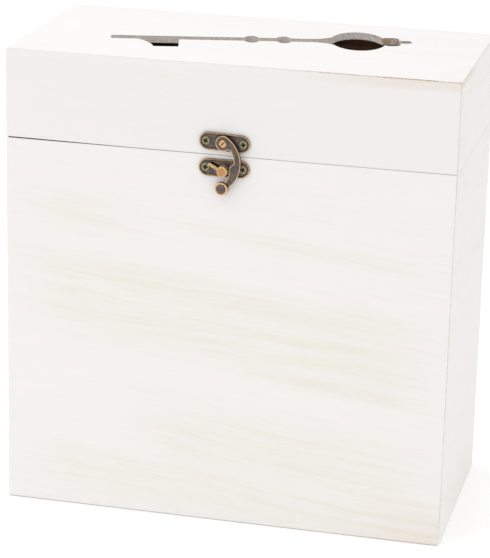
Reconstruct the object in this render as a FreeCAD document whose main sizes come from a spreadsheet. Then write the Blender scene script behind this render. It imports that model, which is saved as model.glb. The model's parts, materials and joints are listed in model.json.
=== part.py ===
import FreeCAD, Part
import math
import os
import re

import Sketcher

# Wooden wedding card box: a body, a lid hinged at the back and a swing clasp at the front.
# Millimetres, +Z up. The origin is the middle of the underside, and the front faces -Y.

doc = FreeCAD.newDocument("wedding_card_box")
dims = doc.addObject("Spreadsheet::Sheet", "dims")

SIZES = [
    # the box
    ("box_width", 254.0),
    ("box_depth", 127.0),
    ("box_height", 267.0),
    ("lid_height", 51.0),        # seam to the top of the lid
    ("seam_gap", 0.3),           # open line between lid and body
    ("wall", 7.0),
    ("top_thick", 4.0),
    ("bottom_thick", 4.0),
    ("corner_round", 0.8),       # upright outside corners
    ("edge_round", 0.5),         # outside edges along the seam and the base
    ("top_round", 0.7),          # outside edge round the top
    # the key-shaped card slot, along u from its left tip and across v, positive to the back
    ("key_angle", 14.2),
    ("key_mid_x", 2.0),
    ("key_mid_y", 4.2),
    ("key_length", 170.0),
    ("tip_half", 2.8),           # half the width of the blunt tips, left and right, and their chamfers
    ("tip_chamfer", 0.8),
    ("stub_half", 2.2),
    ("stub_chamfer", 1.5),
    ("shaft_width", 8.2),
    ("neck_width", 7.0),         # the shaft's stub beyond the ring
    ("bit_start", 15.3),
    ("bit_foot", 24.4),
    ("bit_end", 38.4),
    ("bit_reach", 22.8),
    ("bit_curve", 31.0),         # radius of the bit's hollow side
    ("bead_one", 79.5),
    ("bead_two", 97.8),
    ("bead_half", 4.6),
    ("bead_reach", 8.8),
    ("bow_mid", 139.7),
    ("bow_half", 15.6),
    ("bow_reach", 23.8),
    ("flare_start", 114.0),
    ("flare_end", 128.5),
    ("flare_reach", 15.0),
    ("flare_curve", 17.0),
    ("ring_mid", 158.4),
    ("ring_half", 4.9),
    ("ring_reach", 10.4),
    ("ring_round", 3.4),
    ("cut_over", 1.0),           # how far the cutter runs past each face
    # clasp plates: depths are counted outwards from the wood
    ("clasp_x", -1.4),
    ("upper_rise", 7.8),         # upper plate's middle above the seam
    ("lower_drop", 6.7),         # lower plate's middle below the seam
    ("upper_tilt", 2.3),         # the upper plate sits askew, its left end higher
    ("plate_width", 28.4),
    ("plate_height", 9.8),
    ("plate_thick", 0.9),
    ("rim_width", 0.8),
    ("rim_rise", 0.55),
    ("boss_radius", 3.5),
    ("boss_rise", 1.0),
    ("screw_spacing", 21.0),
    ("weld", 0.05),              # how far one raised feature sinks into the one below it
    # the swinging hook, about its pivot
    ("pivot_x", -0.3),           # from the plates' middle
    ("hook_start", 2.0),         # depth of the hook's back
    ("hook_thick", 1.6),
    ("eye_radius", 4.2),
    ("pivot_hole", 1.05),
    ("eye_exit_x", 0.5),         # where the arm's inner side leaves the eye
    ("eye_exit_z", -3.2),
    ("inner_start", 32.0),       # the inner arc's upper end, degrees above its centre
    ("outer_end", 52.0),         # the outer arc's lower end, degrees below its centre
    ("arm_x", -7.8),             # centre of the arm's outer arc
    ("arm_z", -11.15),
    ("arm_radius", 17.8),
    ("arm_inner", 14.2),         # radius of its inner side above the tooth
    ("tooth_x", 3.7),
    ("tooth_top", -13.2),
    ("tooth_foot", -15.0),
    ("tooth_root_x", 6.35),
    ("tooth_root_z", -10.8),
    ("throat_curve", 9.6),       # inner side below the tooth
    ("throat_x", 0.9),
    ("throat_z", -22.6),
    ("ball_x", -0.4),
    ("ball_z", -25.6),
    ("ball_radius", 3.7),
    ("ball_thick", 2.6),
    ("ball_round", 0.9),
    # the rivet and the catch stud
    ("rivet_radius", 1.0),
    ("rivet_head", 2.0),
    ("rivet_head_thick", 0.9),
    ("rivet_dome", 0.5),
    ("rivet_play", 0.1),
    ("rivet_slot", 0.6),
    ("rivet_slot_half", 1.8),
    ("rivet_slot_depth", 0.4),
    ("rivet_turn", -42.0),
    ("stud_x", -0.3),            # from the plates' middle
    ("stud_z", -1.1),            # from the lower plate's middle
    ("stud_shank", 1.2),
    ("stud_base", 3.0),
    ("stud_base_thick", 1.0),
    ("stud_neck", 1.9),
    ("stud_head", 3.1),
    ("stud_head_start", 3.8),
    ("stud_head_thick", 1.7),
    ("stud_dome", 0.9),
    ("finger_start", 1.0),
    ("finger_reach", 8.0),
    ("finger_width", 1.7),
    ("finger_thick", 2.1),
    ("finger_angle", 153.0),
    ("finger_shift", 0.6),       # the finger's line passes this far below the stud's middle
    ("slit_x", -5.4),            # slit in the lower plate above the finger
    ("slit_z", 1.5),
    ("slit_half", 1.6),          # half the length between its end radii
    ("slit_radius", 0.9),
    # screws
    ("screw_shank", 1.1),
    ("screw_head", 2.4),
    ("screw_head_thick", 0.8),
    ("screw_length", 6.2),
    ("screw_point", 1.8),
    ("point_radius", 0.25),
    ("head_dome", 0.7),          # share of the head's thickness that is rounded
    ("cross_width", 0.34),       # the recess, as shares of the head's radius
    ("cross_length", 1.25),
    ("cross_depth", 0.75),       # share of the head's thickness
    ("hinge_head", 1.8),
    ("hinge_head_thick", 0.6),
    ("hinge_screw_length", 5.8),
    ("shank_play", 0.05),
    ("pilot_over", 0.3),         # how much deeper a pilot hole is than its screw
    # hinges
    ("hinge_x", 72.0),
    ("hinge_length", 24.0),
    ("hinge_stand", 2.0),        # axis behind the wood
    ("knuckle_radius", 1.8),
    ("knuckle_gap", 0.2),
    ("pin_radius", 0.95),
    ("pin_play", 0.05),
    ("leaf_thick", 0.9),
    ("leaf_height", 11.0),
    ("leaf_start", 0.6),         # foot of the straps that carry a leaf's own knuckles
    ("strap_over", 0.5),         # how far a strap runs into the leaf
    ("leaf_notch", 2.2),         # foot of the leaf beside the other leaf's knuckles
    ("leaf_round", 2.0),
    ("leaf_screw_x", 7.5),
    ("leaf_screw_z", 6.6),
]
KNUCKLES = 5
SCREW_TURNS = (24, -9, 5, 18)    # how each clasp screw's cross happens to stand, in degrees
HINGE_TURNS = (12, 40)
KEY_DEPTH = "top_thick + 2 * cut_over"
ARC_SLACK = "0.0001"             # a half circle's radius needs a trace more than half its chord
TINY = 1e-4

for row, (alias, size) in enumerate(SIZES, start=1):
    dims.set(f"A{row}", alias)
    dims.set(f"B{row}", str(size))
    dims.setAlias(f"B{row}", alias)
doc.recompute()

NAMES = {alias for alias, size in SIZES}


def cells(formula):
    """The formula with every cell name pointing at the sheet."""
    return re.sub(r"[a-z][a-z_]+", lambda m: f"dims.{m[0]}" if m[0] in NAMES else m[0], str(formula))


def number(formula):
    """The formula's value now."""
    return float(dims.evalExpression(cells(formula)))


def bind(thing, prop, formula):
    thing.setExpression(prop, cells(formula))


def place(thing, x="0", y="0", z="0", turn="0", spin="0"):
    """Put a sub-part where the sheet says, spun by degrees about its own Y and then turned about +Z."""
    turned = FreeCAD.Rotation(FreeCAD.Vector(0, 0, 1), number(turn))
    spun = FreeCAD.Rotation(FreeCAD.Vector(0, 1, 0), number(spin))
    thing.Placement = FreeCAD.Placement(FreeCAD.Vector(), turned * spun)
    for name, formula in zip("xyz", (x, y, z)):
        bind(thing, f"Placement.Base.{name}", formula)


def new_body(label):
    body = doc.addObject("PartDesign::Body", label)
    body.Label = label
    return body


def fasten(sketch, body, plane, depth="0"):
    """Lay a sketch on one of its body's origin planes, lifted by depth along the normal."""
    face = next(f for f in body.Origin.OriginFeatures if f.Role == plane)
    sketch.AttachmentSupport = (face, [""])
    sketch.MapMode = "FlatFace"
    bind(sketch, "AttachmentOffset.Base.z", depth)


def new_sketch(name, body=None, plane="XZ_Plane", depth="0"):
    if body is None:
        return doc.addObject("Sketcher::SketchObject", name)
    sketch = body.newObject("Sketcher::SketchObject", name)
    fasten(sketch, body, plane, depth)
    return sketch


def pin_down(sketch, geometry, point, x, y):
    """Hold one point of a sketch at two formulas."""
    for kind, formula in (("DistanceX", x), ("DistanceY", y)):
        index = sketch.addConstraint(
            Sketcher.Constraint(kind, -1, 1, geometry, point, number(formula)))
        bind(sketch, f"Constraints[{index}]", formula)


def outline(sketch, corners):
    """Closed outline. A corner is (x, y) before a straight edge, or (x, y, radius, side) before an arc,
    whose centre is on the left of the way to the next corner (side 1) or on its right (side -1)."""
    count = len(corners)
    spots = [FreeCAD.Vector(number(c[0]), number(c[1]), 0) for c in corners]
    ends = []
    for i, corner in enumerate(corners):
        start, end = spots[i], spots[(i + 1) % count]
        if len(corner) == 2:
            geometry = sketch.addGeometry(Part.LineSegment(start, end))
            ends.append((geometry, 1, 2))
            continue
        radius, side = number(corner[2]), corner[3]
        chord = end - start
        left = FreeCAD.Vector(-chord.y, chord.x, 0).normalize()
        rise = math.sqrt(radius ** 2 - (chord.Length / 2) ** 2)
        centre = (start + end) * 0.5 + left * (side * rise)
        top = centre - left * (side * radius)
        geometry = sketch.addGeometry(Part.Arc(start, top, end))
        index = sketch.addConstraint(Sketcher.Constraint("Radius", geometry, radius))
        bind(sketch, f"Constraints[{index}]", corner[2])
        ends.append((geometry, 1, 2) if side > 0 else (geometry, 2, 1))
    for i, corner in enumerate(corners):
        geometry, first, last = ends[i]
        after, after_first, _ = ends[(i + 1) % count]
        pin_down(sketch, geometry, first, corner[0], corner[1])
        sketch.addConstraint(Sketcher.Constraint("Coincident", geometry, last, after, after_first))


def circle(sketch, radius, x="0", y="0"):
    centre = FreeCAD.Vector(number(x), number(y), 0)
    geometry = sketch.addGeometry(Part.Circle(centre, FreeCAD.Vector(0, 0, 1), number(radius)))
    pin_down(sketch, geometry, 3, x, y)
    index = sketch.addConstraint(Sketcher.Constraint("Radius", geometry, number(radius)))
    bind(sketch, f"Constraints[{index}]", radius)


def box_corners(x0, x1, y0, y1):
    return [(x0, y0), (x1, y0), (x1, y1), (x0, y1)]


def pill_corners(width, height):
    """A bar with round ends, centred."""
    radius = f"({height}) / 2"
    reach = f"(({width}) - ({height})) / 2"
    curve = f"{radius} + {ARC_SLACK}"
    return [(f"-{reach}", f"-{radius}"), (reach, f"-{radius}", curve, 1),
            (reach, radius), (f"-{reach}", radius, curve, 1)]


def pad(body, sketch, length):
    feature = body.newObject("PartDesign::Pad", f"{sketch.Name}_pad")
    feature.Profile = sketch
    bind(feature, "Length", length)
    doc.recompute()
    return feature


def pocket(body, sketch, length):
    """Cut against the sketch's normal, and make sure that something was cut."""
    before = body.Shape.Volume
    feature = body.newObject("PartDesign::Pocket", f"{sketch.Name}_cut")
    feature.Profile = sketch
    bind(feature, "Length", length)
    doc.recompute()
    if not body.Shape.Volume < before - TINY:
        raise RuntimeError(f"{body.Label}: {feature.Name} cuts nothing")
    return feature


def disc(body, name, radius, start, thick, x="0", y="0", plane="XZ_Plane"):
    sketch = new_sketch(f"{body.Name}_{name}", body, plane, start)
    circle(sketch, radius, x, y)
    return pad(body, sketch, thick)


def bore(body, name, radius, top, depth, spots=(("0", "0"),), plane="XZ_Plane"):
    """Round holes cut back from depth top along the plane's normal."""
    sketch = new_sketch(f"{body.Name}_{name}", body, plane, top)
    for x, y in spots:
        circle(sketch, radius, x, y)
    return pocket(body, sketch, depth)


def slab(body, name, corners, start, thick, plane="XZ_Plane"):
    sketch = new_sketch(f"{body.Name}_{name}", body, plane, start)
    outline(sketch, corners)
    return pad(body, sketch, thick)


def round_edges(body, name, radius, wanted):
    """Fillet the edges of the body's solid that wanted(edge) picks."""
    base = body.Tip
    edges = [f"Edge{i}" for i, e in enumerate(base.Shape.Edges, start=1) if wanted(e)]
    if not edges:
        raise RuntimeError(f"{body.Label}: {name} finds no edge")
    feature = body.newObject("PartDesign::Fillet", f"{body.Name}_{name}")
    feature.Base = (base, edges)
    bind(feature, "Radius", radius)
    doc.recompute()
    if "Invalid" in feature.State:
        raise RuntimeError(f"{body.Label}: {name} fails")
    return feature


def edge_in_plane(edge, axis, level):
    """True where every vertex of the edge has the given x, y or z."""
    return all(abs(getattr(v.Point, axis) - level) < TINY for v in edge.Vertexes)


def both_sides(spacing):
    return [(f"-({spacing})", "0"), (spacing, "0")]


# ---------------------------------------------------------------------------------------------------------
# wooden boards

SEAM = "(box_height - lid_height)"
LID_FOOT = f"({SEAM} + seam_gap)"
BODY_BOARD = SEAM
LID_BOARD = "(lid_height - seam_gap - top_thick)"
SIDES = [
    # name, length of the outside face, turn about +Z, x, y of the outside face's middle
    ("front", "box_width", 0, "0", "-box_depth / 2"),
    ("right", "box_depth", 90, "box_width / 2", "0"),
    ("back", "box_width", 180, "0", "box_depth / 2"),
    ("left", "box_depth", 270, "-box_width / 2", "0"),
]
LOWER_SCREWS = [(f"clasp_x {sign} screw_spacing / 2", "0") for sign in "-+"]
# the upper plate is askew about its pivot, and its screws with it: x, and z from the pivot
UPPER_SCREWS = [(f"clasp_x + pivot_x + ({sign} screw_spacing / 2 - pivot_x) * cos(upper_tilt * 1 deg)",
                 f"(pivot_x {'+' if sign == '-' else '-'} screw_spacing / 2) * sin(upper_tilt * 1 deg)")
                for sign in "-+"]
HINGE_PILOTS = [f"{side}hinge_x {sign} leaf_screw_x" for side in ("-", "") for sign in "-+"]


def mitred_board(label, length, height, rounded):
    """A board with mitred ends. Its outside face is on the local XZ plane and it is wall thick."""
    body = new_body(label)
    ease = "corner_round * (1 - cos(45 deg))"
    corners = [
        (f"-{length} / 2 + corner_round", "0"),
        (f"{length} / 2 - corner_round", "0", "corner_round", 1),
        (f"{length} / 2 - {ease}", ease),
        (f"{length} / 2 - wall", "wall"),
        (f"-{length} / 2 + wall", "wall"),
        (f"-{length} / 2 + {ease}", ease, "corner_round", 1),
    ]
    slab(body, "plan", corners, "0", height, plane="XY_Plane")
    inside = number("corner_round") + TINY
    levels = [number(height) if level == "top" else 0.0 for level in rounded]
    round_edges(body, "ease", "edge_round", lambda e: any(
        edge_in_plane(e, "z", level) for level in levels) and all(v.Point.y < inside for v in e.Vertexes))
    return body


def pilot_holes(board, spots, length, plate):
    """Holes for wood screws of that length, which stand on a plate of that thickness."""
    sketch = new_sketch(f"{board.Name}_pilots", board)
    for x, z in spots:
        circle(sketch, "screw_shank + shank_play", x, z)
    pocket(board, sketch, f"{length} - {plate} + pilot_over")


def make_boards():
    for name, length, turn, x, y in SIDES:
        low = mitred_board(f"body_{name}_board", length, BODY_BOARD, ["top", "foot"])
        high = mitred_board(f"lid_{name}_board", length, LID_BOARD, ["foot"])
        if name == "front":
            pilot_holes(low, [(s, f"{SEAM} - lower_drop + {rise}") for s, rise in LOWER_SCREWS],
                        "screw_length", "plate_thick")
            pilot_holes(high, [(s, f"upper_rise - seam_gap + {rise}") for s, rise in UPPER_SCREWS],
                        "screw_length", "plate_thick")
        if name == "back":
            axis = "seam_gap / 2"
            pilot_holes(low, [(s, f"{SEAM} + {axis} - leaf_screw_z") for s in HINGE_PILOTS],
                        "hinge_screw_length", "leaf_thick")
            pilot_holes(high, [(s, f"leaf_screw_z - {axis}") for s in HINGE_PILOTS],
                        "hinge_screw_length", "leaf_thick")
        place(low, x, y, "0", turn)
        place(high, x, y, LID_FOOT, turn)


def make_bottom_panel():
    body = new_body("bottom_panel")
    half_x, half_y = "(box_width / 2 - wall)", "(box_depth / 2 - wall)"
    slab(body, "plan", box_corners(f"-{half_x}", half_x, f"-{half_y}", half_y),
         "0", "bottom_thick", plane="XY_Plane")
    place(body)


# ---------------------------------------------------------------------------------------------------------
# lid top with the card slot, cut as one key-shaped tool

def extruded(name, wire):
    solid = doc.addObject("Part::Extrusion", name)
    solid.Base = wire
    solid.DirMode = "Custom"
    solid.Dir = FreeCAD.Vector(0, 0, 1)
    solid.Solid = True
    bind(solid, "LengthFwd", KEY_DEPTH)
    return solid


def key_oval(name, middle, half, reach):
    """An oval across the key: half along it and reach to each side."""
    wire = doc.addObject("Part::Ellipse", f"{name}_wire")
    bind(wire, "MajorRadius", reach)
    bind(wire, "MinorRadius", half)
    place(wire, middle, turn="90")
    return extruded(name, wire)


def key_outline(name, corners):
    sketch = new_sketch(f"{name}_wire")
    outline(sketch, corners)
    return extruded(name, sketch)


def key_tool():
    """The skeleton key: shaft, bit, two beads, flared bow, ring and stub."""
    half, stub = "shaft_width / 2", "neck_width / 2"
    pieces = [
        key_outline("key_shaft", [("tip_chamfer", f"-{half}"), ("bow_mid", f"-{half}"),
                                  ("bow_mid", half), ("tip_chamfer", half),
                                  ("0", "tip_half"), ("0", "-tip_half")]),
        key_outline("key_stub", [("bow_mid", f"-{stub}"), ("key_length - stub_chamfer", f"-{stub}"),
                                 ("key_length", "-stub_half"), ("key_length", "stub_half"),
                                 ("key_length - stub_chamfer", stub), ("bow_mid", stub)]),
        key_outline("key_bit", [("bit_start", "0"), ("bit_start", f"-{half}", "bit_curve", -1),
                                ("bit_foot", "-bit_reach"), ("bit_end", "-bit_reach"), ("bit_end", "0")]),
        key_oval("key_bead_one", "bead_one", "bead_half", "bead_reach"),
        key_oval("key_bead_two", "bead_two", "bead_half", "bead_reach"),
        key_outline("key_flare", [("flare_start", f"-{half}", "flare_curve", -1),
                                  ("flare_end", "-flare_reach"),
                                  ("flare_end", "flare_reach", "flare_curve", -1),
                                  ("flare_start", half)]),
        key_oval("key_bow", "bow_mid", "bow_half", "bow_reach"),
        key_outline("key_ring", ring_corners()),
    ]
    tool = doc.addObject("Part::MultiFuse", "key_tool")
    tool.Shapes = pieces
    middle = "key_length / 2"
    place(tool, f"key_mid_x - {middle} * cos(key_angle * 1 deg)",
          f"key_mid_y - {middle} * sin(key_angle * 1 deg)",
          "box_height - top_thick - cut_over", "key_angle")
    return tool


def ring_corners():
    """An upright bar across the key with rounded corners."""
    low, high, reach, r = "ring_mid - ring_half", "ring_mid + ring_half", "ring_reach", "ring_round"
    return [(f"{low} + {r}", f"-{reach}"), (f"{high} - {r}", f"-{reach}", r, 1),
            (high, f"{r} - {reach}"), (high, f"{reach} - {r}", r, 1),
            (f"{high} - {r}", reach), (f"{low} + {r}", reach, r, 1),
            (low, f"{reach} - {r}"), (low, f"{r} - {reach}", r, 1)]


def make_lid_top():
    blank = doc.addObject("Part::Box", "lid_top_blank")
    bind(blank, "Length", "box_width")
    bind(blank, "Width", "box_depth")
    bind(blank, "Height", "top_thick")
    place(blank, "-box_width / 2", "-box_depth / 2", "box_height - top_thick")
    doc.recompute()
    eased = doc.addObject("Part::Fillet", "lid_top_eased")
    eased.Base = blank
    corner, rim = number("corner_round"), number("top_round")
    top = number("box_height")
    chosen = []
    for i, edge in enumerate(blank.Shape.Edges, start=1):
        upright = abs(edge.Vertexes[0].Point.z - edge.Vertexes[1].Point.z) > TINY
        if upright or edge_in_plane(edge, "z", top):
            chosen.append((i, corner if upright else rim, corner if upright else rim))
    eased.Edges = chosen
    doc.recompute()
    panel = doc.addObject("Part::Cut", "lid_top_panel")
    panel.Label = "lid_top_panel"
    panel.Base = eased
    panel.Tool = key_tool()


# ---------------------------------------------------------------------------------------------------------
# clasp

UPPER_Z = f"({SEAM} + upper_rise)"
LOWER_Z = f"({SEAM} - lower_drop)"
FRONT_Y = "-box_depth / 2"
BACK_Y = "box_depth / 2"


def make_plate(label, z, boss, hole):
    """A round-ended plate with a raised rim, and a boss where the hook turns."""
    body = new_body(label)
    slab(body, "base", pill_corners("plate_width", "plate_height"), "0", "plate_thick")
    slab(body, "rim", pill_corners("plate_width", "plate_height"), "plate_thick - weld", "rim_rise + weld")
    sketch = new_sketch(f"{label}_well", body, depth="plate_thick + rim_rise")
    outline(sketch, pill_corners("plate_width - 2 * rim_width", "plate_height - 2 * rim_width"))
    pocket(body, sketch, "rim_rise")
    middle = "pivot_x" if boss else "stud_x"
    level = "0" if boss else "stud_z"
    if boss:
        disc(body, "boss", "boss_radius", "plate_thick - weld", "boss_rise + weld", "pivot_x")
    bore(body, "screw_holes", "screw_shank + shank_play", "plate_thick", "plate_thick",
         both_sides("screw_spacing / 2"))
    bore(body, "centre_hole", hole, "plate_thick + boss_rise", "plate_thick + boss_rise", [(middle, level)])
    if not boss:
        sketch = new_sketch(f"{label}_slit", body, depth="plate_thick")
        outline(sketch, slit_corners())
        pocket(body, sketch, "plate_thick")
        place(body, "clasp_x", FRONT_Y, z)
    else:
        place(body, "clasp_x + pivot_x * (1 - cos(upper_tilt * 1 deg))", FRONT_Y,
              f"{z} + pivot_x * sin(upper_tilt * 1 deg)", spin="upper_tilt")


def tilted(x, y, along, side, turn):
    """A sketch point along and beside a line that starts at (x, y) and is turned by an angle."""
    return (f"{x} + ({along}) * cos({turn}) - ({side}) * sin({turn})",
            f"{y} + ({along}) * sin({turn}) + ({side}) * cos({turn})")


def slit_corners():
    """A round-ended slit that lies the way the finger does."""
    turn, r, half = "(finger_angle * 1 deg)", "slit_radius", "slit_half"
    spots = [tilted("slit_x", "slit_z", along, side, turn)
             for along, side in ((f"-{half}", f"-{r}"), (half, f"-{r}"), (half, r), (f"-{half}", r))]
    curve = f"{r} + {ARC_SLACK}"
    return [spots[0], spots[1] + (curve, 1), spots[2], spots[3] + (curve, 1)]


def make_swing_hook():
    body = new_body("swing_hook")
    disc(body, "eye", "eye_radius", "hook_start", "hook_thick")
    reach = "sqrt(arm_x * arm_x + arm_z * arm_z)"
    # the outer arc leaves the eye where the two circles touch
    touch_x = f"-arm_x / {reach} * eye_radius"
    touch_z = f"-arm_z / {reach} * eye_radius"
    corners = [
        (touch_x, touch_z),
        ("eye_exit_x", "eye_exit_z"),
        ("arm_x + arm_inner * cos(inner_start * 1 deg)", "arm_z + arm_inner * sin(inner_start * 1 deg)",
         "arm_inner", -1),
        ("tooth_root_x", "tooth_root_z"),
        ("tooth_x", "tooth_top"),
        ("tooth_x", "tooth_foot", "throat_curve", -1),
        ("throat_x", "throat_z"),
        ("ball_x", "ball_z"),
        ("arm_x + arm_radius * cos(outer_end * 1 deg)", "arm_z - arm_radius * sin(outer_end * 1 deg)",
         "arm_radius", 1),
    ]
    slab(body, "arm", corners, "hook_start", "hook_thick")
    disc(body, "ball", "ball_radius", "hook_start", "ball_thick", "ball_x", "ball_z")
    bore(body, "pivot", "pivot_hole", "hook_start + ball_thick", "ball_thick")
    top = -number("hook_start + ball_thick")
    round_edges(body, "ball_dome", "ball_round", lambda e: edge_in_plane(e, "y", top))
    place(body, "clasp_x + pivot_x", FRONT_Y, UPPER_Z)


def make_pivot_rivet():
    body = new_body("pivot_rivet")
    start = "hook_start + hook_thick + rivet_play"
    disc(body, "shank", "rivet_radius", "0", start)
    disc(body, "head", "rivet_head", start, "rivet_head_thick")
    top = -number(f"{start} + rivet_head_thick")
    round_edges(body, "dome", "rivet_dome", lambda e: edge_in_plane(e, "y", top))
    sketch = new_sketch("pivot_rivet_slot", body, depth=f"{start} + rivet_head_thick")
    outline(sketch, box_corners("-rivet_slot_half", "rivet_slot_half", "-rivet_slot / 2", "rivet_slot / 2"))
    pocket(body, sketch, "rivet_slot_depth")
    place(body, "clasp_x + pivot_x", FRONT_Y, UPPER_Z, spin="rivet_turn")


def make_catch_stud():
    """A headed stud with a flat finger cast beside its foot."""
    body = new_body("catch_stud")
    disc(body, "shank", "stud_shank", "0", "plate_thick")
    disc(body, "foot", "stud_base", "plate_thick", "stud_base_thick")
    disc(body, "neck", "stud_neck", "plate_thick + stud_base_thick - weld",
         "stud_head_start - plate_thick - stud_base_thick + 2 * weld")
    disc(body, "cap", "stud_head", "stud_head_start", "stud_head_thick")
    top = -number("stud_head_start + stud_head_thick")
    round_edges(body, "dome", "stud_dome", lambda e: edge_in_plane(e, "y", top))
    sketch = new_sketch("catch_stud_finger", body, depth="plate_thick")
    outline(sketch, finger_corners())
    pad(body, sketch, "finger_thick")
    place(body, "clasp_x + stud_x", FRONT_Y, f"{LOWER_Z} + stud_z")


def finger_corners():
    """A bar from beside the stud's middle outwards, with a round end."""
    turn, half = "(finger_angle * 1 deg)", "finger_width / 2"
    spots = [tilted("0", "0", along, f"finger_shift {side}", turn)
             for along, side in (("finger_start", f"- {half}"), ("finger_reach", f"- {half}"),
                                 ("finger_reach", f"+ {half}"), ("finger_start", f"+ {half}"))]
    return [spots[0], spots[1] + (f"{half} + {ARC_SLACK}", 1), spots[2], spots[3]]


# ---------------------------------------------------------------------------------------------------------
# screws: the head stands outwards along -Y from the local origin's plane, and the shank runs along +Y

def make_screw(name, head, head_thick, length):
    body = new_body(name)
    disc(body, "head", head, "0", head_thick)
    top = -number(head_thick)
    round_edges(body, "dome", f"{head_thick} * head_dome", lambda e: edge_in_plane(e, "y", top))
    straight = f"({length} - screw_point)"
    disc(body, "shank", "screw_shank", f"-{straight}", straight)
    sketch = new_sketch(f"{name}_point", body, "XY_Plane")
    outline(sketch, [("0", straight), ("screw_shank", straight),
                     ("point_radius", length), ("0", length)])
    turned = body.newObject("PartDesign::Revolution", f"{name}_turned")
    turned.Profile = sketch
    turned.ReferenceAxis = (sketch, ["V_Axis"])
    turned.Angle = 360
    doc.recompute()
    reach, half = f"({head} * cross_length / 2)", f"({head} * cross_width / 2)"
    for part, corners in (("across", box_corners(f"-{reach}", reach, f"-{half}", half)),
                          ("upright", box_corners(f"-{half}", half, f"-{reach}", reach))):
        recess = new_sketch(f"{name}_{part}", body, depth=head_thick)
        outline(recess, corners)
        pocket(body, recess, f"{head_thick} * cross_depth")
    return body


def screw_group(label, spots, head, head_thick, length, turn, spins):
    """Screws at (x, y, z) spots, each with its cross spun its own way, as one node of separate solids."""
    screws = []
    for i, (x, y, z) in enumerate(spots):
        screw = make_screw(f"{label}_{'ab'[i]}", head, head_thick, length)
        place(screw, x, y, z, turn, spins[i])
        screws.append(screw)
    group = doc.addObject("Part::Compound", label)
    group.Label = label
    group.Links = screws


def make_clasp_screws():
    for label, z, places, spins in (("clasp_upper_screws", UPPER_Z, UPPER_SCREWS, SCREW_TURNS[:2]),
                                    ("clasp_lower_screws", LOWER_Z, LOWER_SCREWS, SCREW_TURNS[2:])):
        spots = [(x, f"{FRONT_Y} - plate_thick", f"{z} + {rise}") for x, rise in places]
        screw_group(label, spots, "screw_head", "screw_head_thick", "screw_length", 0, spins)


# ---------------------------------------------------------------------------------------------------------
# hinges: the local origin is the pin's middle, the pin runs along X and the wood is at y = -hinge_stand

AXIS_Z = f"({SEAM} + seam_gap / 2)"
AXIS_Y = "(box_depth / 2 + hinge_stand)"


def make_leaf(label, x, own, up):
    """A leaf with the knuckles whose numbers are in own, standing up (1) or hanging down (-1)."""
    body = new_body(label)
    sign = "" if up > 0 else "-"
    half = "hinge_length / 2"
    level = "hinge_stand - leaf_thick"
    slab(body, "flat", box_corners(f"-{half}", half, f"{sign}leaf_notch", f"{sign}leaf_height"),
         level, "leaf_thick")
    far, end = number(f"{sign}leaf_height"), number(half)
    round_edges(body, "corners", "leaf_round", lambda e: edge_in_plane(e, "z", far) and (
        edge_in_plane(e, "x", end) or edge_in_plane(e, "x", -end)))
    pitch = f"hinge_length / {KNUCKLES}"
    for k in own:
        start = f"-{half} + {k} * {pitch}" + (" + knuckle_gap / 2" if k else "")
        trim = "knuckle_gap" if 0 < k < KNUCKLES - 1 else "knuckle_gap / 2"
        width = f"({pitch} - {trim})"
        slab(body, f"strap_{k}", box_corners(start, f"{start} + {width}", f"{sign}leaf_start",
             f"{sign}(leaf_notch + strap_over)"), level, "leaf_thick")
        disc(body, f"knuckle_{k}", "knuckle_radius", start, width, plane="YZ_Plane")
    bore(body, "pin_bore", "pin_radius + pin_play", half, "hinge_length", plane="YZ_Plane")
    bore(body, "screw_holes", "screw_shank + shank_play", "hinge_stand", "leaf_thick",
         [("-leaf_screw_x", f"{sign}leaf_screw_z"), ("leaf_screw_x", f"{sign}leaf_screw_z")])
    place(body, x, AXIS_Y, AXIS_Z)


def make_pin(label, x):
    body = new_body(label)
    disc(body, "rod", "pin_radius", "-hinge_length / 2", "hinge_length", plane="YZ_Plane")
    place(body, x, AXIS_Y, AXIS_Z)


def make_hinges():
    for side, x in (("left", "-hinge_x"), ("right", "hinge_x")):
        make_leaf(f"{side}_hinge_body_leaf", x, range(0, KNUCKLES, 2), -1)
        make_leaf(f"{side}_hinge_lid_leaf", x, range(1, KNUCKLES, 2), 1)
        make_pin(f"{side}_hinge_pin", x)
        for part, sign in (("body", "-"), ("lid", "+")):
            spots = [(f"{x} {s} leaf_screw_x", f"{BACK_Y} + leaf_thick", f"{AXIS_Z} {sign} leaf_screw_z")
                     for s in "-+"]
            screw_group(f"{side}_hinge_{part}_screws", spots, "hinge_head", "hinge_head_thick",
                        "hinge_screw_length", 180, HINGE_TURNS)


# ---------------------------------------------------------------------------------------------------------
# build, check, write

make_boards()
make_bottom_panel()
make_lid_top()
make_plate("clasp_upper_plate", UPPER_Z, True, "rivet_radius")
make_plate("clasp_lower_plate", LOWER_Z, False, "stud_shank")
make_swing_hook()
make_pivot_rivet()
make_catch_stud()
make_clasp_screws()
make_hinges()
doc.recompute()

grouped = {screw for group in doc.findObjects("Part::Compound") for screw in group.Links}
sub_parts = [body for body in doc.findObjects("PartDesign::Body") if body not in grouped]
sub_parts += doc.findObjects("Part::Compound") + [doc.getObject("lid_top_panel")]

faults = [f"{o.Label}: {o.State}" for o in doc.Objects if "Invalid" in o.State or "Error" in o.State]
for part in sub_parts:
    if part.Shape.isNull() or not part.Shape.isValid() or not part.Shape.Solids:
        faults.append(f"{part.Label}: bad shape")
if faults:
    raise RuntimeError("; ".join(faults))

os.makedirs("parts", exist_ok=True)
for part in sorted(sub_parts, key=lambda p: p.Label):
    part.Shape.exportStep(f"parts/{part.Label}.step")
    print(f"{part.Label:28s} {len(part.Shape.Solids)} solid(s)  {part.Shape.Volume:12.2f} mm3")
print(len(sub_parts), "sub-parts")
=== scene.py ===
"""Wedding card box: the looks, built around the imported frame. Metres, +Z up, front towards -Y."""

import json
import math

import bmesh
import bpy
import numpy as np
from mathutils import Matrix, Vector, noise


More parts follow.
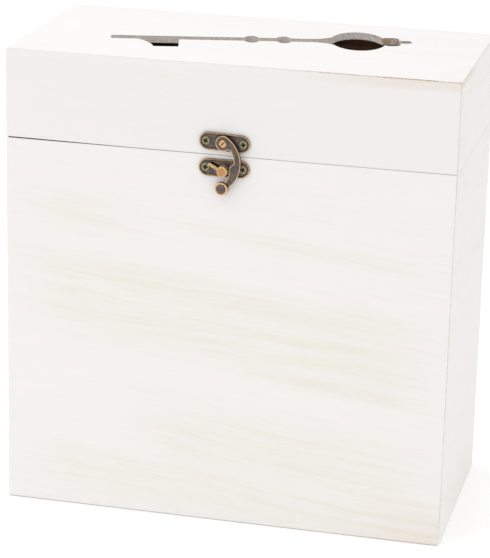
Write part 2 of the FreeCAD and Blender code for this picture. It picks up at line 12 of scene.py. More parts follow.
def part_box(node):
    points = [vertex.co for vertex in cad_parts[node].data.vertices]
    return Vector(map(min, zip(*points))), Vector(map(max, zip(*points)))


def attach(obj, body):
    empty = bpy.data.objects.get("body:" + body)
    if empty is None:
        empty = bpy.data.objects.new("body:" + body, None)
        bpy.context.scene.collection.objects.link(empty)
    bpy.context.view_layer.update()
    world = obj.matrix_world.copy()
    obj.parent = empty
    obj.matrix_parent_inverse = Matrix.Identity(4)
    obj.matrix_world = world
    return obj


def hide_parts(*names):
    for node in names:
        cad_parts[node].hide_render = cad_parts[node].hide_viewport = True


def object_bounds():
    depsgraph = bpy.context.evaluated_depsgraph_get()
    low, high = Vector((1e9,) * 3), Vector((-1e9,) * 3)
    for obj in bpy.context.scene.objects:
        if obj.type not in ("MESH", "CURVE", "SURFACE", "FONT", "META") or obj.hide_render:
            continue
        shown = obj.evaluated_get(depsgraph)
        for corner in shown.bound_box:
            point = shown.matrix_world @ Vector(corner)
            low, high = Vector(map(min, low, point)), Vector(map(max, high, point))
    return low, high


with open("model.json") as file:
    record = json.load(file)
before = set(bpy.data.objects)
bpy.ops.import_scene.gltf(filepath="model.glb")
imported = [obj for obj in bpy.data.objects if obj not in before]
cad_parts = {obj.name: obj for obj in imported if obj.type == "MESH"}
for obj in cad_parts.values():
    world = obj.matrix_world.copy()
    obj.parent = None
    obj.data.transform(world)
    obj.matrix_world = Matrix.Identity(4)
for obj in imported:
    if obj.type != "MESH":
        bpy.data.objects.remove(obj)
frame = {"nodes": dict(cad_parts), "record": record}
cad_low, cad_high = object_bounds()
nodes = frame["nodes"]

MM = 0.001
X, Y, Z = 0, 1, 2

# ---------------------------------------------------------------- places in mm, read from the frame
top_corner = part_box("lid_top_panel")[1]
lid_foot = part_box("lid_front_board")[0]
HALF_WIDTH = top_corner.x / MM
HALF_DEPTH = top_corner.y / MM
TOP = top_corner.z / MM
SEAM = lid_foot.z / MM


# ---------------------------------------------------------------- node helpers
class Paint:
    """One material's node tree. Each call adds a node and returns its main output."""

    def __init__(self, name):
        self.material = bpy.data.materials.new(name)
        self.material.use_nodes = True
        self.tree = self.material.node_tree
        self.shader = self.tree.nodes["Principled BSDF"]
        self.place = self.add("TexCoord").outputs["Object"]
        self.mm = self.scaled(self.place, (1 / MM, 1 / MM, 1 / MM))
        split = self.add("SeparateXYZ", self.mm)
        self.x, self.y, self.z = split.outputs

    def add(self, kind, *values, **settings):
        node = self.tree.nodes.new("ShaderNode" + kind)
        for key, value in settings.items():
            setattr(node, key, value)
        for socket, value in zip(node.inputs, values):
            self.put(socket, value)
        return node

    def put(self, socket, value):
        if isinstance(value, bpy.types.NodeSocket):
            self.tree.links.new(value, socket)
        elif value is not None:
            socket.default_value = value

    def sum(self, operation, *values, clamp=False):
        return self.add("Math", *values, operation=operation, use_clamp=clamp).outputs[0]

    def scaled(self, vector, scale):
        return self.add("VectorMath", vector, scale, operation="MULTIPLY").outputs[0]

    def moved(self, vector, offset):
        return self.add("VectorMath", vector, offset, operation="ADD").outputs[0]

    def noise(self, vector, size, detail=3.0, roughness=0.5):
        """Noise from 0 to 1, with features about size mm across."""
        node = self.add("TexNoise")
        self.put(node.inputs["Vector"], self.scaled(vector, (1 / size,) * 3))
        node.inputs["Scale"].default_value = 1
        node.inputs["Detail"].default_value = detail
        node.inputs["Roughness"].default_value = roughness
        return node.outputs["Fac"]

    def step(self, value, low, high, to_low=0.0, to_high=1.0):
        """A smooth step from to_low at low to to_high at high. high may be the smaller."""
        ends = (high, low, to_high, to_low) if low > high else (low, high, to_low, to_high)
        return self.add("MapRange", value, *ends, interpolation_type="SMOOTHSTEP").outputs[0]

    def line(self, value, low, high, to_low, to_high):
        """A straight ramp, held at both ends."""
        return self.add("MapRange", value, low, high, to_low, to_high).outputs[0]

    def product(self, *values):
        total = values[0]
        for value in values[1:]:
            total = self.sum("MULTIPLY", total, value)
        return total

    def mix(self, share, first, second):
        """The first colour, with this share of the second laid over it."""
        node = self.add("Mix", data_type="RGBA")
        for name, value in (("Factor", share), ("A", first), ("B", second)):
            kind = "VALUE" if name == "Factor" else "RGBA"
            socket = [s for s in node.inputs if s.name == name and s.type == kind][0]
            self.put(socket, value)
        return [s for s in node.outputs if s.type == "RGBA"][0]

    def bump(self, height, distance, strength):
        node = self.add("Bump")
        node.inputs["Strength"].default_value = strength
        node.inputs["Distance"].default_value = distance
        self.put(node.inputs["Height"], height)
        return node.outputs[0]

    def finish(self, colour, roughness, normal=None, metallic=0.0):
        self.put(self.shader.inputs["Base Color"], colour)
        self.put(self.shader.inputs["Roughness"], roughness)
        self.put(self.shader.inputs["Metallic"], metallic)
        self.put(self.shader.inputs["Normal"], normal)
        return self.material


def rgb(red, green, blue):
    """A colour given as it is seen, 0 to 255, as the linear values that the shader takes."""
    def linear(value):
        share = value / 255
        return share / 12.92 if share <= 0.04045 else ((share + 0.055) / 1.055) ** 2.4
    return (linear(red), linear(green), linear(blue), 1.0)


# ---------------------------------------------------------------- white-washed wood
PINK_WHITE = rgb(243, 239, 238)
GREEN_WHITE = rgb(241, 240, 238)
TOP_WHITE = rgb(243, 241, 241)
LID_WHITE = rgb(238, 235, 234)
BEIGE = rgb(231, 227, 208)
STAIN = rgb(229, 219, 202)
RAW_WOOD = rgb(190, 148, 114)
RAW_STREAK = rgb(156, 112, 82)
WORN_TAN = rgb(200, 176, 140)
WORN_BROWN = rgb(158, 118, 72)
# painted shade: the colour laid along the front's foot, where the box meets the floor
PAINTED_FOOT_SHADE = rgb(120, 112, 100)
# painted shadow: the near-black laid on the wood behind the lower plate, seen through its slit
PAINTED_SLIT_SHADOW = rgb(36, 28, 22)
SLOT_PALE = rgb(250, 244, 236)
SLOT_GREY = rgb(216, 206, 194)
SCORCH = rgb(170, 104, 56)

# Beige grain under the wash of the front: from x, to x, z at each of them, half width, strength
FRONT_BANDS = (
    (-40, 127, 176, 158, 4.5, 0.42),
    (-127, -40, 182, 172, 12.0, 0.42),
    (-127, 127, 150, 124, 8.0, 0.44),
    (-127, 127, 128, 98, 20.0, 0.52),
    (10, 127, 94, 78, 4.0, 0.46),
    (-60, 127, 58, 34, 20.0, 0.48),
    (-127, 127, 28, 6, 13.0, 0.44),
)
BAND_FADE_OUT = 10       # a band starts to show this far beyond its end, in mm
BAND_FADE_IN = 45        # and shows fully this far inside it
BAND_WANDER = 0.6        # the bands follow this share of the fibres' wandering
GRAIN_DROP = 0.10        # the grain of the upright boards falls this much for each mm along it
# Each kind of grain: how wide its fibres are in mm, and how many times longer
FINE_GRAIN = (0.9, 26)
MEDIUM_GRAIN = (4.0, 30)
WIDE_GRAIN = (30, 5)
CLOUD_SIZE = 19          # the wash is pinkish here and greenish there, in clouds about this wide, in mm
CLOUD_STRETCH = 0.35     # and this much slower to change along the fibres
WANDER = 11              # the fibres wander this far to either side, in mm
WANDER_SIZE = 60         # over stretches about this long
WANDER_APART = 37.0      # each board's grain is taken from a place this far from the last board's, in mm
RING_APART = 53.0
WASH_DEPTH = 0.75        # the wash reaches this deep into the wood, in mm
CORNER_WEAR = 0.42       # how worn the front right corner is, from 0 to 1
LEAST_WEAR = 0.20        # and how worn every other arris is
RAGGED = 0.30            # the edge of worn spots is ragged by this much, in mm
RAGGED_SIZE = 1.6
WASH_FADE = 0.35         # the wash ends over this much more depth, in mm
PLATE_INSET = 1.6        # the wood behind the lower plate is painted dark as shadow this far in from the plate's edge, in mm
SKIN = 0.6               # and this deep


def depth_below(p):
    """How far a point lies in from the nearest upright outer face, from the nearest outer face of any kind,
    and from the nearest outer arris."""
    side = p.sum("SUBTRACT", HALF_WIDTH, p.sum("ABSOLUTE", p.x))
    end = p.sum("SUBTRACT", HALF_DEPTH, p.sum("ABSOLUTE", p.y))
    level = p.sum("MINIMUM", p.sum("SUBTRACT", TOP, p.z), p.z)
    upright = p.sum("MINIMUM", side, end)
    depth = p.sum("MINIMUM", upright, level)
    arris = p.sum("MAXIMUM", upright, p.sum("MINIMUM", p.sum("MAXIMUM", side, end), level))
    return upright, depth, arris


def grain_of(p, along, across, seed):
    """Fine, medium and wide grain, each 0 to 1, and how far the fibres wander at a point, in mm."""
    axes = [p.x, p.y, p.z]
    drift = [1.0, 1.0, 1.0]
    drift[along] = 0.3
    place = p.moved(p.scaled(p.mm, drift), (seed * WANDER_APART,) * 3)
    wander = p.line(p.noise(place, WANDER_SIZE, detail=2), 0, 1, -WANDER, WANDER)
    fall = p.product(axes[along], GRAIN_DROP if across == Z else 0.0)
    ring = p.sum("ADD", p.sum("ADD", axes[across], wander), p.sum("ADD", fall, seed * RING_APART))

    def streaks(size, stretch, detail):
        place = list(axes)
        place[across] = ring
        place[along] = p.product(axes[along], 1 / stretch)
        return p.noise(p.add("CombineXYZ", *place).outputs[0], size, detail=detail, roughness=0.6)

    return streaks(*FINE_GRAIN, 4), streaks(*MEDIUM_GRAIN, 4), streaks(*WIDE_GRAIN, 3), wander


def front_band_share(p, wander):
    """How much of the beige grain shows at a point of the front."""
    total = 0.0
    for x_from, x_to, z_from, z_to, half, strength in FRONT_BANDS:
        middle = p.sum("ADD", p.line(p.x, x_from, x_to, z_from, z_to), p.product(wander, BAND_WANDER))
        away = p.sum("ABSOLUTE", p.sum("SUBTRACT", p.z, middle))
        share = p.step(away, half * 1.5, half * 0.2, 0.0, strength)
        left = p.step(p.x, x_from - BAND_FADE_OUT, x_from + BAND_FADE_IN)
        right = p.step(p.x, x_to + BAND_FADE_OUT, x_to - BAND_FADE_IN)
        share = p.product(share, left, right)
        total = p.sum("ADD", total, share)
    return total


def arris_wear(p):
    """How much the wash is rubbed off the arris at a point: most at the front right of the top."""
    at_front = p.step(p.y, -HALF_DEPTH + 1.5, -HALF_DEPTH + 0.8)
    near_top = p.step(p.z, TOP - 1.5, TOP - 0.8)
    right_end = p.step(p.x, HALF_WIDTH - 1.5, HALF_WIDTH - 0.8)
    rightwards = p.step(p.x, -0.1 * HALF_WIDTH, 0.8 * HALF_WIDTH, 0.30, 0.78)
    wear = p.product(at_front, near_top, rightwards)
    wear = p.sum("MAXIMUM", wear, p.product(right_end, at_front, CORNER_WEAR))
    return p.sum("MAXIMUM", wear, LEAST_WEAR)


def behind(p, node, inset, blur=0.5):
    """1 where a point lies behind a node, seen from the front, at least this far inside its box; else 0."""
    low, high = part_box(node)
    shares = []
    for value, start, end in ((p.x, low.x, high.x), (p.z, low.z, high.z)):
        start = start / MM + inset
        end = end / MM - inset
        shares += [p.step(value, start - blur, start + blur), p.step(value, end + blur, end - blur)]
    return p.product(*shares)


def stained(p, node, paint, medium, upright):
    """The wash with the spots that only the front has: its right foot, and under the lid's top edge."""
    if node == "body_front_board":
        foot = p.product(p.step(p.x, 55, 122), p.step(p.z, 34, 4))
        paint = p.mix(p.product(foot, p.step(medium, 0.3, 0.7, 0.25, 0.60)), paint, STAIN)
    if node in ("lid_front_board", "lid_top_panel"):
        on_upright = p.step(upright, 0.5, 0.2)
        paint = p.mix(p.product(on_upright, 0.5), paint, LID_WHITE)
        brow = p.product(p.step(p.x, 20, 105), p.step(p.z, TOP - 7.5, TOP - 2.5))
        brow = p.product(brow, on_upright, p.step(p.y, 0, -40))
        paint = p.mix(p.product(brow, p.step(medium, 0.3, 0.7, 0.45, 0.95)), paint, STAIN)
    return paint


def washed(p, node, along, grain, upright):
    """The colour of the outside: pinkish and greenish white in clouds, with beige grain in bands."""
    fine, medium, wide, wander = grain
    stretch = [CLOUD_STRETCH if axis == along else 1.0 for axis in (X, Y, Z)]
    cloud = p.noise(p.scaled(p.mm, stretch), CLOUD_SIZE, detail=3)
    if node == "lid_top_panel":
        paint = p.mix(p.step(cloud, 0.35, 0.68, 0.0, 0.5), TOP_WHITE, GREEN_WHITE)
        band = p.step(wide, 0.50, 0.75, 0.0, 0.16)
    else:
        paint = p.mix(p.step(cloud, 0.38, 0.62), PINK_WHITE, GREEN_WHITE)
        band = p.step(wide, 0.46, 0.72, 0.0, 0.34)
    if node == "body_front_board":
        band = p.sum("ADD", front_band_share(p, wander), p.step(wide, 0.50, 0.85, 0.0, 0.15))
    if node == "lid_front_board":
        band = p.product(band, 0.5)
    streaky = p.sum("ADD", p.step(medium, 0.32, 0.68, 0.28, 0.80), p.step(fine, 0.35, 0.70, -0.08, 0.18))
    fibres = p.sum("ADD", p.step(fine, 0.48, 0.76, 0.0, 0.20), p.step(medium, 0.50, 0.78, 0.0, 0.10))
    paint = p.mix(p.sum("ADD", p.product(band, streaky), fibres, clamp=True), paint, BEIGE)
    return stained(p, node, paint, medium, upright)


def wood_material(node, along, across, seed):
    """White-washed paulownia outside, raw inside. The fibres run along one axis and lie beside each other
    across another."""
    p = Paint(node + "_wood")
    grain = grain_of(p, along, across, seed)
    fine, medium, _, _ = grain
    upright, depth, arris = depth_below(p)
    ragged = p.line(p.noise(p.mm, RAGGED_SIZE, detail=3), 0, 1, -RAGGED, RAGGED)

    raw = p.mix(p.step(medium, 0.35, 0.65), RAW_WOOD, RAW_STREAK)
    raw = p.mix(p.step(fine, 0.40, 0.75, 0.0, 0.45), raw, RAW_STREAK)
    bare = p.step(p.sum("ADD", depth, p.product(ragged, 0.6)), WASH_DEPTH, WASH_DEPTH + WASH_FADE)
    colour = p.mix(bare, washed(p, node, along, grain, upright), raw)

    # the wash rubbed off the arrises, painted shade along the foot where the box meets the floor, and painted
    # shadow on the wood behind the slit of the lower plate
    wear = arris_wear(p)
    worn_share = p.step(p.sum("ADD", arris, ragged), 0.72, 0.28)
    worn_share = p.product(worn_share, wear, p.sum("SUBTRACT", 1.0, bare))
    colour = p.mix(worn_share, colour, p.mix(p.step(wear, 0.3, 0.7), WORN_TAN, WORN_BROWN))
    if node == "body_front_board":
        # painted shade: the front darkens over its lowest mm, where the box meets the floor
        colour = p.mix(p.step(p.z, 0.9, 0.2, 0.0, 0.45), colour, PAINTED_FOOT_SHADE)
        # painted shadow: the wood behind the lower plate goes near black, so its slit looks like a shaded
        # hole
        skin = p.step(p.y, -HALF_DEPTH + 2 * SKIN, -HALF_DEPTH + SKIN)
        colour = p.mix(p.product(behind(p, "clasp_lower_plate", PLATE_INSET), skin), colour, PAINTED_SLIT_SHADOW)

    height = p.sum("ADD", p.product(fine, 0.6), p.product(medium, 0.4))
    return p.finish(colour, p.line(fine, 0, 1, 0.62, 0.82), p.bump(height, 0.12 * MM, 0.5))


HATCH_PITCH = 1.3        # mm between the cutter's marks on the wall of the card slot
HATCH_SLANT = 1.4


def slot_wall_material():
    """The sawn wall of the card slot: pale, hatched aslant by the cutter, scorched here and there."""
    p = Paint("slot_wall")
    slant = p.sum("ADD", p.x, p.product(p.z, HATCH_SLANT))
    hatch = p.sum("SINE", p.product(slant, 2 * math.pi / HATCH_PITCH))
    broken = p.noise(p.mm, 1.4, detail=3)
    shade = p.sum("ADD", p.line(hatch, -1, 1, 0.0, 0.55), p.step(broken, 0.35, 0.7, -0.2, 0.5), clamp=True)
    colour = p.mix(shade, SLOT_PALE, SLOT_GREY)
    burnt = p.product(p.step(p.x, 52, 70), p.step(p.noise(p.mm, 5, detail=3), 0.46, 0.66, 0.0, 0.6))
    colour = p.mix(burnt, colour, SCORCH)
    lip = p.step(p.sum("ADD", p.z, p.line(broken, 0, 1, -0.4, 0.4)), TOP - 0.9, TOP - 0.2, 0.0, 0.35)
    colour = p.mix(lip, colour, WORN_BROWN)
    return p.finish(colour, 0.85, p.bump(hatch, 0.1 * MM, 0.5))


# ---------------------------------------------------------------- boards
# Each board, the axis its fibres run along and the axis they lie beside each other across
BOARDS = {
    "body_front_board": (X, Z),
    "body_back_board": (X, Z),
    "body_left_board": (Y, Z),
    "body_right_board": (Y, Z),
    "lid_front_board": (X, Z),
    "lid_back_board": (X, Z),
    "lid_left_board": (Y, Z),
    "lid_right_board": (Y, Z),
    "lid_top_panel": (X, Y),
    "bottom_panel": (X, Y),
}
SLICE = 6 * MM               # boards get a row of points this often
ARRIS_REACH = 1.2 * MM       # arrises are rubbed down this far from the edge
ARRIS_RUB = 0.16 * MM
RUB_SIZE = 7 * MM            # more here and less there, over stretches about this long
UNEVEN = 0.10 * MM           # sanding leaves the faces this uneven
UNEVEN_SIZE = 45 * MM
LID_FOOT = 2 * MM            # the part of the lid that the two below move
LID_SAG = 0.12 * MM          # the lid closes tighter at its right end
LID_GAPE = 0.42 * MM         # and stands a little open at its front left corner
KNOCK = 3.0 * MM             # the foot's front right corner is knocked in from this far
KNOCK_DEEP = 0.7 * MM
SLOT_MARGIN = 5 * MM         # the walls of the card slot are further than this from the panel's edges
SHARP_ANGLE = math.radians(32)
SAME_PLACE = 0.002 * MM      # points this close are one


def body_of(node):
    bodies = frame["record"]["behaviour"]["bodies"]
    return next(body for body, members in bodies.items() if node in members)


def use_material(piece, *materials):
    """Gives a piece its materials. Which face has which stays as it is."""
    which = [face.material_index for face in piece.data.polygons]
    piece.data.materials.clear()
    for material in materials:
        piece.data.materials.append(material)
    piece.data.polygons.foreach_set("material_index", which)


def smooth_step(value, low, high):
    share = min(max((value - low) / (high - low), 0.0), 1.0)
    return share * share * (3 - 2 * share)


def weathered(place):
    """Where a point of the box goes once the boards are sanded, rubbed and knocked. The same for every board,
    so that joints stay closed."""
    moved = place + noise.noise_vector(place / UNEVEN_SIZE) * UNEVEN
    gaps = sorted((
        (HALF_WIDTH * MM - abs(place.x), Vector((-math.copysign(1, place.x), 0, 0))),
        (HALF_DEPTH * MM - abs(place.y), Vector((0, -math.copysign(1, place.y), 0))),
        (min(TOP * MM - place.z, place.z), Vector((0, 0, 1 if place.z < TOP * MM / 2 else -1))),
    ), key=lambda gap: gap[0])
    (_, inward), (far, across), _ = gaps
    if far < ARRIS_REACH:
        rub = ARRIS_RUB * (1 - far / ARRIS_REACH) * (0.6 + noise.noise(place / RUB_SIZE))
        moved += (inward + across) * max(rub, 0.0)
    corner = Vector((HALF_WIDTH * MM, -HALF_DEPTH * MM, 0.0))
    reach = (place - corner).length
    if reach < KNOCK:
        moved += Vector((-1, 1, 1)).normalized() * KNOCK_DEEP * (1 - reach / KNOCK) ** 2
    return moved


def lid_lift(place):
    """How far the lid's foot stands above its place."""
    half_width = HALF_WIDTH * MM
    half_depth = HALF_DEPTH * MM
    leftwards = 1 - smooth_step(place.x, -half_width, -0.35 * half_width)
    forwards = smooth_step(-place.y, -0.2 * half_depth, 0.8 * half_depth)
    rightwards = smooth_step(place.x, -0.6 * half_width, 0.4 * half_width)
    return LID_GAPE * leftwards * forwards - LID_SAG * rightwards


def cut_finely(shape, low, high):
    """Cuts a board into slices along all three axes, with one more cut beside each arris."""
    for axis in (X, Y, Z):
        normal = Vector([1.0 if i == axis else 0.0 for i in range(3)])
        length = high[axis] - low[axis]
        cuts = max(int(length / SLICE), 1)
        places = [low[axis] + length * i / cuts for i in range(1, cuts)]
        places += [low[axis] + ARRIS_REACH, high[axis] - ARRIS_REACH]
        for at in places:
            everything = shape.verts[:] + shape.edges[:] + shape.faces[:]
            bmesh.ops.bisect_plane(
                shape, geom=everything, dist=SAME_PLACE, plane_co=normal * at, plane_no=normal)


def is_slot_wall(face):
    """Whether a face of the top panel belongs to the wall of the card slot."""
    middle = face.calc_center_median()
    inside_x = abs(middle.x) < HALF_WIDTH * MM - SLOT_MARGIN
    inside_y = abs(middle.y) < HALF_DEPTH * MM - SLOT_MARGIN
    return inside_x and inside_y and abs(face.normal.z) < 0.5


def finished_board(node, seed):
    """A finely cut, weathered copy of a board, which stands for it."""
    mesh = nodes[node].data.copy()
    shape = bmesh.new()
    shape.from_mesh(mesh)
    bmesh.ops.remove_doubles(shape, verts=shape.verts, dist=SAME_PLACE)
    cut_finely(shape, *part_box(node))
    for face in shape.faces:
        face.material_index = 1 if node == "lid_top_panel" and is_slot_wall(face) else 0
        face.smooth = True
    is_lid = body_of(node) == "lid"
    for vertex in shape.verts:
        place = vertex.co.copy()
        vertex.co = weathered(place)
        if is_lid and place.z < SEAM * MM + LID_FOOT:
            vertex.co.z += lid_lift(place)
    shape.to_mesh(mesh)
    shape.free()
    for layer in ("sharp_edge", "sharp_face", "custom_normal"):
        if layer in mesh.attributes:
            mesh.attributes.remove(mesh.attributes[layer])
    piece = bpy.data.objects.new(node + "_finished", mesh)
    bpy.context.scene.collection.objects.link(piece)
    mesh.set_sharp_from_angle(angle=SHARP_ANGLE)
    materials = [wood_material(node, *BOARDS[node], seed)]
    if node == "lid_top_panel":
        materials.append(slot_wall_material())
    use_material(piece, *materials)
    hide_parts(node)
    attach(piece, body_of(node))


for number, board in enumerate(BOARDS):
    finished_board(board, number)


# ---------------------------------------------------------------- antique metal
def metal_material(name, dark, middle, bright, side):
    """Antique plating: dark patina in the hollows, rubbed bright on the high front edges. The sides and the
    deepest creases get a painted shade colour; in the creases it stands partly for patina.
    """
    p = Paint(name)
    high = p.add("Attribute", attribute_name="high").outputs["Fac"]
    facing = p.add("Attribute", attribute_name="facing").outputs["Fac"]
    mottle = p.noise(p.mm, 1.1, detail=4, roughness=0.6)
    cloudy = p.noise(p.mm, 2.6, detail=2)
    level = p.sum("ADD", high, p.line(mottle, 0, 1, -0.34, 0.30))
    colour = p.mix(p.step(cloudy, 0.35, 0.65, 0.0, 0.5), dark, middle)
    colour = p.mix(p.step(level, 0.46, 0.62), colour, middle)
    colour = p.mix(p.step(level, 0.64, 0.86), colour, bright)
    # the deepest creases take the painted shade colour of the sides: partly patina, partly painted shade
    colour = p.mix(p.step(level, 0.30, 0.12, 0.0, 0.95), colour, side)
    # painted shade: faces turned away from the front take the dark side colour
    colour = p.mix(p.step(facing, 0.45, 0.10, 0.0, 0.85), colour, side)
    return p.finish(colour, p.line(mottle, 0, 1, 0.30, 0.55), p.bump(mottle, 0.06 * MM, 0.6), metallic=0.85)


# each finish: dark, middle, bright, and last the painted shade colour for sides and deep creases
METALS = {
    "antique_brass": metal_material(
        "antique_brass", rgb(84, 84, 90), rgb(142, 116, 90), rgb(236, 194, 138), rgb(42, 37, 33)),
    "copper_rivet": metal_material(
        "coppery_brass", rgb(160, 112, 78), rgb(206, 156, 112), rgb(250, 208, 152), rgb(92, 46, 28)),
    "dark_screw": metal_material(
        "screw_olive", rgb(96, 96, 82), rgb(122, 120, 98), rgb(158, 150, 118), rgb(5, 4, 4)),
}
STUD_METAL = metal_material(
    "stud_brass", rgb(186, 140, 100), rgb(206, 160, 114), rgb(255, 222, 164), rgb(74, 50, 36))
SLOT_OF_NODE = {
    "clasp_upper_plate": "antique_brass",
    "clasp_lower_plate": "antique_brass",
    "swing_hook": "antique_brass",
    "catch_stud": "antique_brass",
    "pivot_rivet": "copper_rivet",
    "clasp_upper_screws": "dark_screw",
    "clasp_lower_screws": "dark_screw",
}
for side in ("left", "right"):
    for part in ("body_leaf", "lid_leaf", "pin"):
        SLOT_OF_NODE[f"{side}_hinge_{part}"] = "antique_brass"
    for part in ("body_screws", "lid_screws"):
        SLOT_OF_NODE[f"{side}_hinge_{part}"] = "dark_screw"


def read_points(mesh):
    """The mesh's points and their normals, as two arrays."""
    points = np.empty(len(mesh.vertices) * 3, np.float32)
    normals = np.empty(len(mesh.vertices) * 3, np.float32)
    mesh.vertices.foreach_get("co", points)
    mesh.vertices.foreach_get("normal", normals)
    return points.reshape(-1, 3).astype(float), normals.reshape(-1, 3).astype(float)


def write_points(mesh, points):
    mesh.vertices.foreach_set("co", points.astype(np.float32).ravel())
    mesh.update()


def store(mesh, name, values):
    attribute = mesh.attributes.new(name, "FLOAT", "POINT")
    attribute.data.foreach_set("value", values.astype(np.float32))


LEVEL_HIGH = 0.4             # how high, from 0 to 1, a point on level ground counts


def mark_surface(mesh, outward, rounds, scale):
    """Stores how far each point stands out from its surroundings, as 'high', and how far it faces outward,
    as 'facing'. A point that stands out by the scale is nearly fully rubbed."""
    points, normals = read_points(mesh)
    count = len(points)
    edges = np.empty(len(mesh.edges) * 2, np.int32)
    mesh.edges.foreach_get("vertices", edges)
    a, b = edges.reshape(-1, 2).T
    degree = np.bincount(np.concatenate([a, b]), minlength=count)[:, None]

    def neighbours(values):
        total = [
            np.bincount(a, column[b], count) + np.bincount(b, column[a], count)
            for column in values.T
        ]
        return np.stack(total, 1) / np.maximum(degree, 1)

    smooth = points.copy()
    for _ in range(rounds):
        smooth = (smooth + neighbours(smooth)) / 2
    out = ((points - smooth) * normals).sum(1)
    high = np.clip(LEVEL_HIGH + 0.5 * out / scale, 0, 1)[:, None]
    for _ in range(2):
        high = (high + neighbours(high)) / 2
    store(mesh, "high", high[:, 0])
    store(mesh, "facing", normals @ np.array(outward))


STUD_RADIUS = 3.1 * MM
FINGER_TURN = math.radians(153)
FINGER_START = STUD_RADIUS + 0.3 * MM
RIB_PITCH = 0.95 * MM
RIB_DEEP = 0.24 * MM
FACES_FRONT = -0.7           # only what faces this squarely to the front is ribbed


def ribbed(points, normals):
    """Shallow ribs across the finger of the catch stud."""
    low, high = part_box("catch_stud")
    middle = np.array([high.x - STUD_RADIUS, 0.0, low.z + STUD_RADIUS])
    way = np.array([math.cos(FINGER_TURN), 0.0, math.sin(FINGER_TURN)])
    along = (points - middle) @ way
    groove = np.clip(np.sin(along * 2 * math.pi / RIB_PITCH), 0, 1) * (along > FINGER_START)
    return points - normals * (groove * RIB_DEEP * (normals[:, 1] < FACES_FRONT))[:, None]


CAST_COARSE = 1.1 * MM       # a casting's unevenness: its two sizes and its depth
CAST_FINE = 0.45 * MM
CAST_DEEP = 0.02 * MM


def pitted(points, normals):
    """The slight unevenness of a casting."""
    coarse = [noise.noise(place) for place in (points / CAST_COARSE).tolist()]
    fine = [noise.noise(place) for place in (points / CAST_FINE).tolist()]
    bumps = np.array(coarse) + 0.5 * np.array(fine)
    return points + normals * bumps[:, None] * CAST_DEEP


# For each kind of part: how finely it is meshed at the clasp and at the hinges, over how many rounds its
# surroundings are smoothed, and how far a point stands out from them where it is nearly fully rubbed
CASTING = {
    "head": (0.11 * MM, 0.15 * MM, 60, 0.09 * MM),
    "swing_hook": (0.14 * MM, 0.14 * MM, 20, 0.036 * MM),
    "catch_stud": (0.12 * MM, 0.12 * MM, 16, 0.040 * MM),
    "plate": (0.14 * MM, 0.22 * MM, 14, 0.095 * MM),
}


def kind_of(node):
    if node in CASTING:
        return node
    return "head" if "screws" in node or "rivet" in node else "plate"


def cast_copy(node):
    """A finely meshed, softened copy of a metal part, which stands for it."""
    clasp_voxel, hinge_voxel, rounds, scale = CASTING[kind_of(node)]
    at_hinge = "_hinge_" in node
    piece = bpy.data.objects.new(node + "_metal", nodes[node].data.copy())
    bpy.context.scene.collection.objects.link(piece)
    remesh = piece.modifiers.new("remesh", "REMESH")
    remesh.mode = "VOXEL"
    remesh.voxel_size = hinge_voxel if at_hinge else clasp_voxel
    smooth = piece.modifiers.new("smooth", "SMOOTH")
    smooth.factor = 0.5
    smooth.iterations = 2
    depsgraph = bpy.context.evaluated_depsgraph_get()
    mesh = bpy.data.meshes.new_from_object(piece.evaluated_get(depsgraph))
    piece.modifiers.clear()
    piece.data = mesh
    points, normals = read_points(mesh)
    if node == "catch_stud":
        points = ribbed(points, normals)
    write_points(mesh, pitted(points, normals))
    mesh.polygons.foreach_set("use_smooth", [True] * len(mesh.polygons))
    at_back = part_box(node)[0].y > 0
    mark_surface(mesh, (0.0, 1.0 if at_back else -1.0, 0.0), rounds, scale)
    use_material(piece, STUD_METAL if node == "catch_stud" else METALS[SLOT_OF_NODE[node]])
    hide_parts(node)
    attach(piece, body_of(node))


for node in SLOT_OF_NODE:
    cast_copy(node)


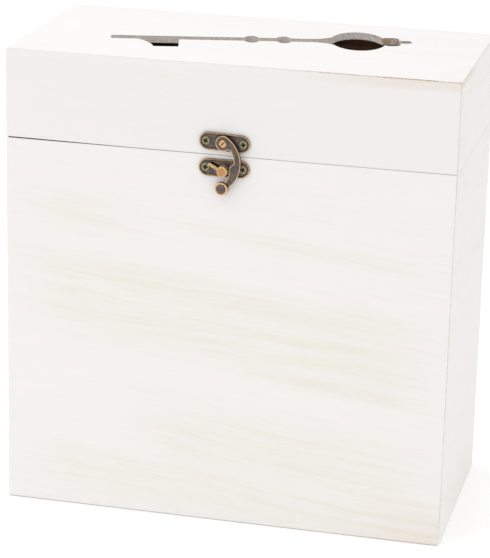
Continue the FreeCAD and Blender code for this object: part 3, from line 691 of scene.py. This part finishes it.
# ---------------------------------------------------------------- floor, lights, camera
FLOOR_REACH = 6.0
FLOOR_GLOW = 0.12
WORLD_LIGHT = 0.885
LAMP_PLACE = Vector((-0.35, -0.15, 1.25))
LAMP_AIM = Vector((0, 0, 0.1))
LAMP_SIZE = 1.1
LAMP_POWER = 3.3
CAMERA_PLACE = Vector((0.3035, -1.3109, 0.5629))
CAMERA_TURN = 13.17          # degrees to the left
CAMERA_DROP = 18.0           # degrees down from level
CAMERA_ROLL = 1.39
CAMERA_LENS = 157.0
SENSOR_WIDTH = 36


def make_floor():
    mesh = bpy.data.meshes.new("floor")
    shape = bmesh.new()
    bmesh.ops.create_grid(shape, x_segments=1, y_segments=1, size=FLOOR_REACH)
    shape.to_mesh(mesh)
    shape.free()
    floor = bpy.data.objects.new("floor", mesh)
    floor.location.z = cad_low.z
    bpy.context.scene.collection.objects.link(floor)
    p = Paint("floor_white")
    p.finish(p.mix(p.noise(p.mm, 60), rgb(251, 251, 251), rgb(253, 253, 253)), 0.9)
    p.shader.inputs["Emission Color"].default_value = (1, 1, 1, 1)
    p.shader.inputs["Emission Strength"].default_value = FLOOR_GLOW
    use_material(floor, p.material)


def make_lamp():
    light = bpy.data.lights.new("overhead", "AREA")
    light.shape = "SQUARE"
    light.size = LAMP_SIZE
    light.energy = LAMP_POWER
    lamp = bpy.data.objects.new("overhead", light)
    lamp.location = LAMP_PLACE
    lamp.rotation_euler = (LAMP_AIM - LAMP_PLACE).to_track_quat("-Z", "Y").to_euler()
    bpy.context.scene.collection.objects.link(lamp)


def make_world():
    world = bpy.data.worlds.new("studio")
    world.use_nodes = True
    background = world.node_tree.nodes["Background"]
    background.inputs["Color"].default_value = (1, 1, 1, 1)
    background.inputs["Strength"].default_value = WORLD_LIGHT
    bpy.context.scene.world = world
    bpy.context.scene.view_settings.view_transform = "Standard"


def make_camera():
    data = bpy.data.cameras.new("camera")
    data.lens = CAMERA_LENS
    data.sensor_width = SENSOR_WIDTH
    camera = bpy.data.objects.new("camera", data)
    turn = Matrix.Rotation(math.radians(CAMERA_TURN), 4, "Z")
    drop = Matrix.Rotation(math.radians(90 - CAMERA_DROP), 4, "X")
    roll = Matrix.Rotation(math.radians(CAMERA_ROLL), 4, "Z")
    camera.matrix_world = Matrix.Translation(CAMERA_PLACE) @ turn @ drop @ roll
    bpy.context.scene.collection.objects.link(camera)
    bpy.context.scene.camera = camera


make_floor()
make_lamp()
make_world()
make_camera()
